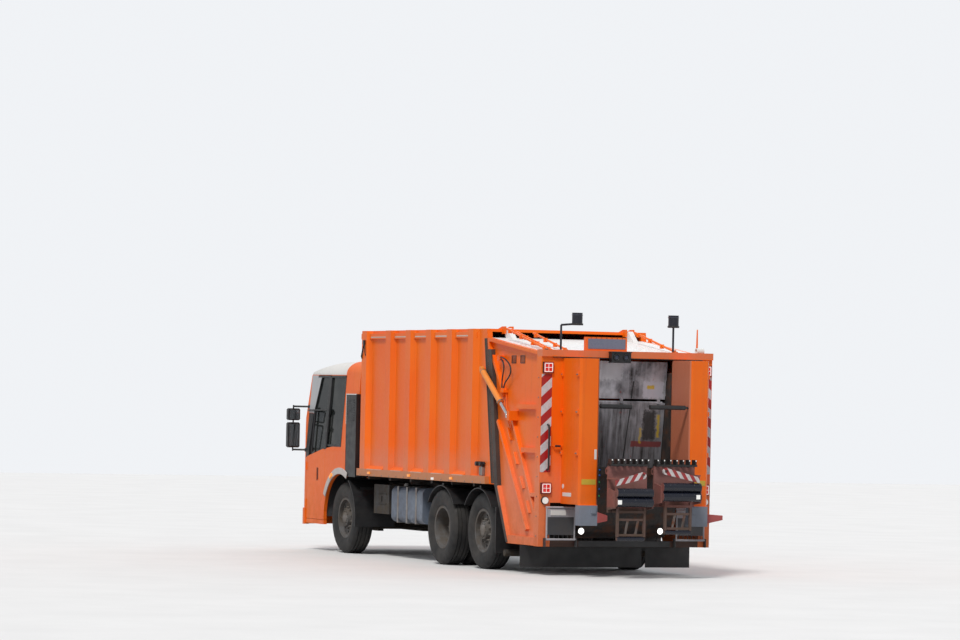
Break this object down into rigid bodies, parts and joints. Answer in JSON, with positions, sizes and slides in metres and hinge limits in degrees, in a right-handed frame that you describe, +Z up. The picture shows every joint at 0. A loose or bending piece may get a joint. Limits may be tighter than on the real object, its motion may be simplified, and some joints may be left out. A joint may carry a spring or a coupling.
{
  "type": "rear-loading garbage truck",
  "caption": "Three-axle garbage truck: low-entry cab, ribbed container, lifting tailgate with packer and two bin lifters.",
  "frame": {"origin": "on the ground under the middle of the whole truck's box", "axes": "+X forward along the truck, +Y to its left, +Z up"},
  "size_m": [10.1825, 2.98, 3.4649],
  "materials": {
    "orange_paint": "gloss paint, dirty and sun-faded",
    "pale_paint": "pale paint, dusty",
    "chassis_black": "satin black, dusty",
    "cylinder_paint": "gloss paint",
    "bare_steel": "worn and stained steel",
    "rod_chrome": "polished rod",
    "tyre_rubber": "matt tread rubber",
    "wheel_grey": "silver-grey wheel paint, dusty",
    "black_rubber": "matt rubber",
    "black_plastic": "moulded plastic",
    "cab_trim": "grained interior plastic",
    "seat_fabric": "woven seat cloth",
    "window_glass": "clear glass",
    "lamp_lens": "red lens",
    "tank_grey": "blue-grey paint"
  },
  "bodies": {
    "chassis": {"axles": "chassis_black", "cab_floor": "cab_trim", "cab_glass": "window_glass", "cab_roof": "pale_paint", "cab_shell": "orange_paint", "chassis_frame": "chassis_black", "container_floor": "bare_steel", "container_front": "orange_paint", "container_roof": "orange_paint", "container_sides": "orange_paint", "dashboard": "cab_trim", "engine": "chassis_black", "front_panel": "orange_paint", "intake_stack": "black_plastic", "mirrors": "black_plastic", "mudguards": "black_plastic", "rear_frame": "orange_paint", "seats": "seat_fabric", "side_boxes": "chassis_black", "tanks": "tank_grey"},
    "knuckle_left": {"knuckle_left": "chassis_black"},
    "knuckle_right": {"knuckle_right": "chassis_black"},
    "tie_rod": {"tie_rod": "chassis_black"},
    "door_left": {"door_left": "orange_paint", "door_glass_left": "window_glass"},
    "door_right": {"door_right": "orange_paint", "door_glass_right": "window_glass"},
    "ejector": {"ejector_plate": "bare_steel"},
    "tailgate": {"tailgate_sides": "orange_paint", "tailgate_roof": "pale_paint", "rear_posts": "orange_paint", "cheeks": "orange_paint", "hopper_trough": "bare_steel", "buffer_rollers": "black_rubber", "rear_lamps": "lamp_lens", "roof_gear": "orange_paint"},
    "carriage": {"carriage": "bare_steel"},
    "packer_blade": {"packer_blade": "bare_steel"},
    "lifter_left": {"lifter_left": "orange_paint"},
    "lifter_right": {"lifter_right": "orange_paint"},
    "arm_left": {"arm_left": "orange_paint"},
    "arm_right": {"arm_right": "orange_paint"},
    "lift_barrels": {"lift_barrels": "cylinder_paint"},
    "lift_rods": {"lift_rods": "rod_chrome"},
    "step_left": {"step_left": "bare_steel"},
    "step_right": {"step_right": "bare_steel"},
    "wheel_front_left": {"tyre_front_left": "tyre_rubber", "rim_front_left": "wheel_grey"},
    "wheel_front_right": {"tyre_front_right": "tyre_rubber", "rim_front_right": "wheel_grey"},
    "wheel_drive_left": {"tyre_drive_left": "tyre_rubber", "rim_drive_left": "wheel_grey"},
    "wheel_drive_right": {"tyre_drive_right": "tyre_rubber", "rim_drive_right": "wheel_grey"},
    "wheel_trailing_left": {"tyre_trailing_left": "tyre_rubber", "rim_trailing_left": "wheel_grey"},
    "wheel_trailing_right": {"tyre_trailing_right": "tyre_rubber", "rim_trailing_right": "wheel_grey"}
  },
  "joints": [
    {"name": "steer_left", "type": "hinge", "parent": "chassis", "child": "knuckle_left", "pos_m": [3.395, 0.88, 0.52], "axis": [0, 0, 1], "range_deg": [-32, 32]},
    {"name": "steer_right", "type": "hinge", "parent": "chassis", "child": "knuckle_right", "pos_m": [3.395, -0.88, 0.52], "axis": [0, 0, 1], "range_deg": [-32, 32]},
    {"name": "tie_rod_pivot", "type": "hinge", "parent": "knuckle_left", "child": "tie_rod", "pos_m": [3.205, 0.88, 0.42], "axis": [0, 0, 1], "range_deg": [-32, 32]},
    {"name": "wheel_front_left_spin", "type": "hinge", "parent": "knuckle_left", "child": "wheel_front_left", "pos_m": [3.395, 1.03, 0.52], "axis": [0, 1, 0], "continuous": true},
    {"name": "wheel_front_right_spin", "type": "hinge", "parent": "knuckle_right", "child": "wheel_front_right", "pos_m": [3.395, -1.03, 0.52], "axis": [0, 1, 0], "continuous": true},
    {"name": "wheel_drive_left_spin", "type": "hinge", "parent": "chassis", "child": "wheel_drive_left", "pos_m": [-0.545, 0.912, 0.52], "axis": [0, 1, 0], "continuous": true},
    {"name": "wheel_drive_right_spin", "type": "hinge", "parent": "chassis", "child": "wheel_drive_right", "pos_m": [-0.545, -0.912, 0.52], "axis": [0, 1, 0], "continuous": true},
    {"name": "wheel_trailing_left_spin", "type": "hinge", "parent": "chassis", "child": "wheel_trailing_left", "pos_m": [-1.895, 1.03, 0.52], "axis": [0, 1, 0], "continuous": true},
    {"name": "wheel_trailing_right_spin", "type": "hinge", "parent": "chassis", "child": "wheel_trailing_right", "pos_m": [-1.895, -1.03, 0.52], "axis": [0, 1, 0], "continuous": true},
    {"name": "door_left_hinge", "type": "hinge", "parent": "chassis", "child": "door_left", "pos_m": [4.798, 1.252, 1], "axis": [0, 0, -1], "range_deg": [0, 75]},
    {"name": "door_right_hinge", "type": "hinge", "parent": "chassis", "child": "door_right", "pos_m": [4.798, -1.252, 1], "axis": [0, 0, 1], "range_deg": [0, 75]},
    {"name": "ejector_slide", "type": "slide", "parent": "chassis", "child": "ejector", "axis": [1, 0, 0], "range_m": [-3.6, 0]},
    {"name": "tailgate_lift", "type": "hinge", "parent": "chassis", "child": "tailgate", "pos_m": [-2.035, 0, 3.235], "axis": [0, 1, 0], "range_deg": [0, 80]},
    {"name": "carriage_slide", "type": "slide", "parent": "tailgate", "child": "carriage", "axis": [0.5892, 0, 0.808], "range_m": [-0.5, 0]},
    {"name": "blade_pivot", "type": "hinge", "parent": "carriage", "child": "packer_blade", "pos_m": [-3.805, 0, 2.3], "axis": [0, 1, 0], "range_deg": [0, 35]},
    {"name": "lifter_left_tilt", "type": "hinge", "parent": "tailgate", "child": "lifter_left", "pos_m": [-4.675, 0.34, 1.4], "axis": [0, 1, 0], "range_deg": [0, 110]},
    {"name": "lifter_right_tilt", "type": "hinge", "parent": "tailgate", "child": "lifter_right", "pos_m": [-4.675, -0.34, 1.4], "axis": [0, 1, 0], "range_deg": [0, 110]},
    {"name": "arm_left_fold", "type": "hinge", "parent": "lifter_left", "child": "arm_left", "pos_m": [-5.065, 0.612, 1.25], "axis": [0, 0, 1], "range_deg": [-90, 0]},
    {"name": "arm_right_fold", "type": "hinge", "parent": "lifter_right", "child": "arm_right", "pos_m": [-5.065, -0.56, 1.302], "axis": [0, 0, -1], "range_deg": [-90, 0]},
    {"name": "step_left_fold", "type": "hinge", "parent": "tailgate", "child": "step_left", "pos_m": [-4.035, 0.94, 0.48], "axis": [0, -1, 0], "range_deg": [0, 90]},
    {"name": "step_right_fold", "type": "hinge", "parent": "tailgate", "child": "step_right", "pos_m": [-4.035, -0.94, 0.48], "axis": [0, -1, 0], "range_deg": [0, 90]},
    {"name": "lift_barrels_pivot", "type": "hinge", "parent": "chassis", "child": "lift_barrels", "pos_m": [-1.945, 0, 2.71], "axis": [0, 1, 0], "range_deg": [-1, 74.75]},
    {"name": "lift_rods_slide", "type": "slide", "parent": "lift_barrels", "child": "lift_rods", "axis": [-0.8368, 0, -0.5475], "range_m": [-0.005, 0.6721]}
  ],
  "couplings": [
    {"joint": "steer_right", "follows": "steer_left", "ratio": 1},
    {"joint": "tie_rod_pivot", "follows": "steer_left", "ratio": -1},
    {"joint": "lift_barrels_pivot", "follows": "tailgate_lift", "ratio": 0.9219},
    {"joint": "lift_rods_slide", "follows": "tailgate_lift", "m_per_rad": 0.47777}
  ]
}
